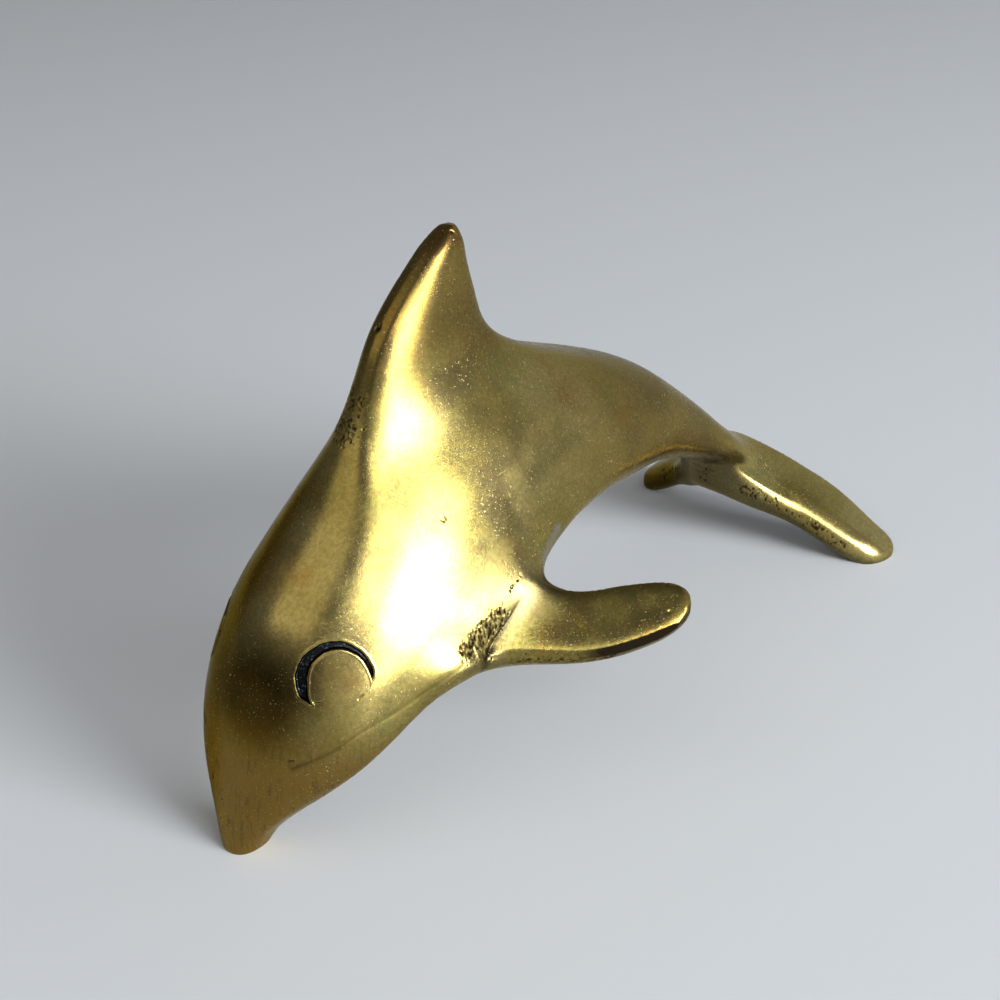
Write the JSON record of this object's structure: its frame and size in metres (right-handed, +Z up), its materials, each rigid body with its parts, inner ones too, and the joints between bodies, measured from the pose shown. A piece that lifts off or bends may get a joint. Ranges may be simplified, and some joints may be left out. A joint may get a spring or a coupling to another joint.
{
  "type": "dolphin figurine",
  "caption": "Free-standing cast brass dolphin that arches over a table, resting on its snout and flukes, with brazed-on flippers and a groove round each eye.",
  "frame": {"origin": "on the table under the middle of the overall length, in the figure's mid-plane", "axes": "+X from the snout to the flukes, +Y to the figure's right side, +Z up from the table that it rests on"},
  "size_m": [0.1122, 0.0592, 0.0638],
  "materials": {
    "cast_brass": "sand-cast brass, polished and then dulled by handling, with a patchy olive-brown tarnish and casting pits",
    "brazing_filler": "silver-grey brazing filler, dressed flush with the skin and left dull"
  },
  "bodies": {
    "root": {"body": "cast_brass", "left_flipper": "cast_brass", "left_flipper_braze": "brazing_filler", "right_flipper": "cast_brass", "right_flipper_braze": "brazing_filler"}
  },
  "joints": []
}
